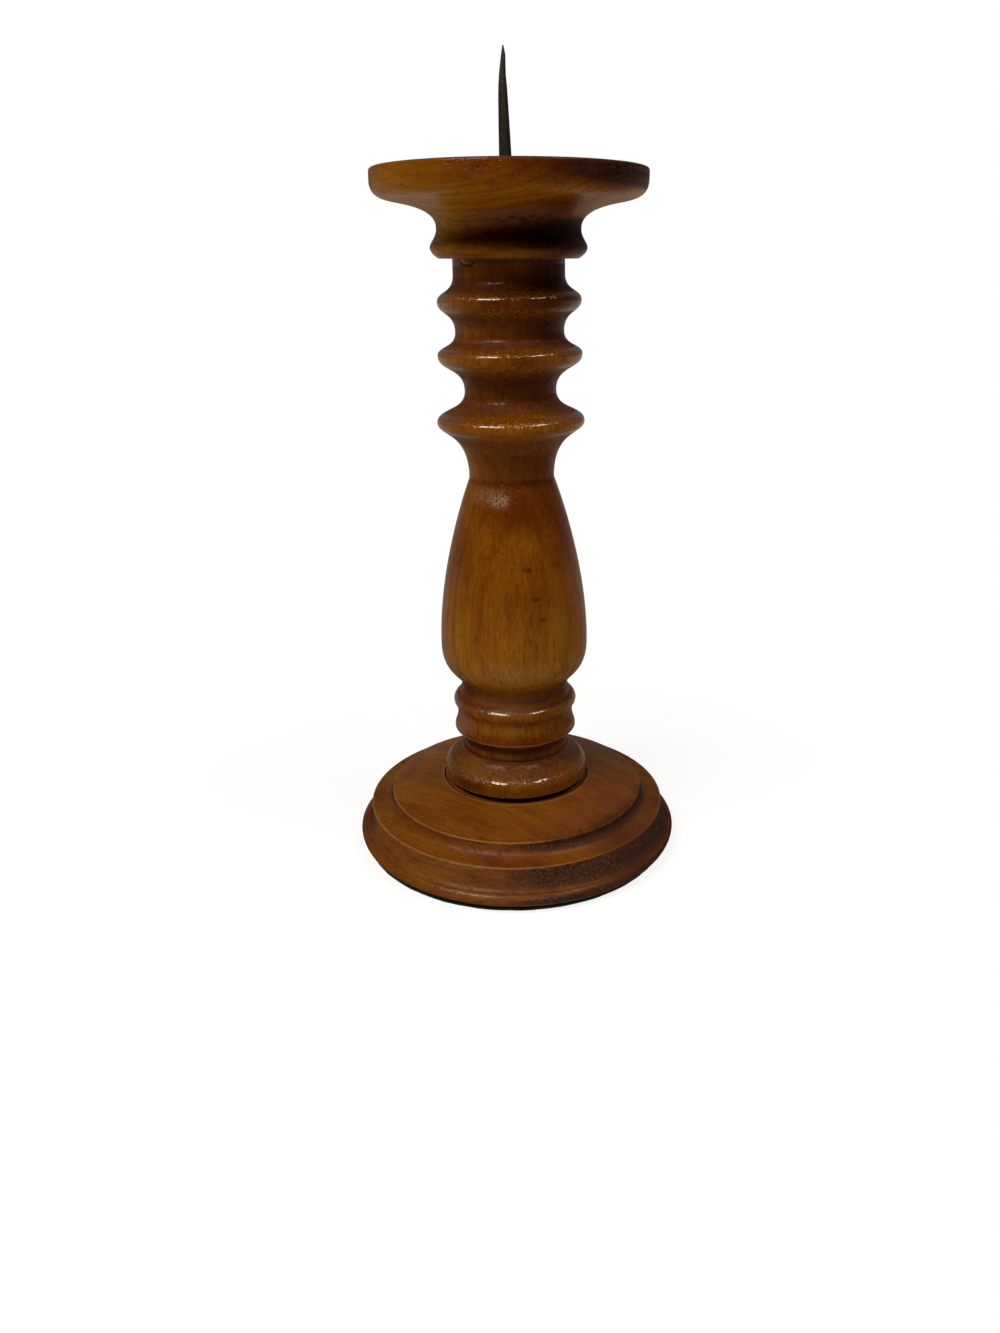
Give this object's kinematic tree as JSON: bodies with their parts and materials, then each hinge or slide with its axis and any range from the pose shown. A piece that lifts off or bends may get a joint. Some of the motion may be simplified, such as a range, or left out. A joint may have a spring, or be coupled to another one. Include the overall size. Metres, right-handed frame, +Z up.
{
  "type": "turned wooden pricket candlestick",
  "caption": "Turned wooden pricket candlestick: felted stepped base, ringed baluster stem and broad drip pan with an iron spike for a pillar candle.",
  "frame": {"origin": "middle of the felt's underside, where the candlestick rests", "axes": "+Z up along the turned stem to the spike, -Y towards the viewer, +X to the viewer's right"},
  "size_m": [0.1574, 0.1574, 0.3529],
  "materials": {
    "felt": "dark green wool felt, matt",
    "base_wood": "amber-brown stained hardwood under worn semi-gloss varnish",
    "screw_steel": "plain steel",
    "stem_wood": "amber-brown stained hardwood under worn semi-gloss varnish",
    "pan_wood": "amber-brown stained hardwood under worn semi-gloss varnish",
    "iron": "black forged iron, dull"
  },
  "bodies": {
    "root": {"base_felt": "felt", "base": "base_wood", "base_screw": "screw_steel", "stem": "stem_wood", "drip_pan": "pan_wood", "pricket_spike": "iron"}
  },
  "joints": []
}
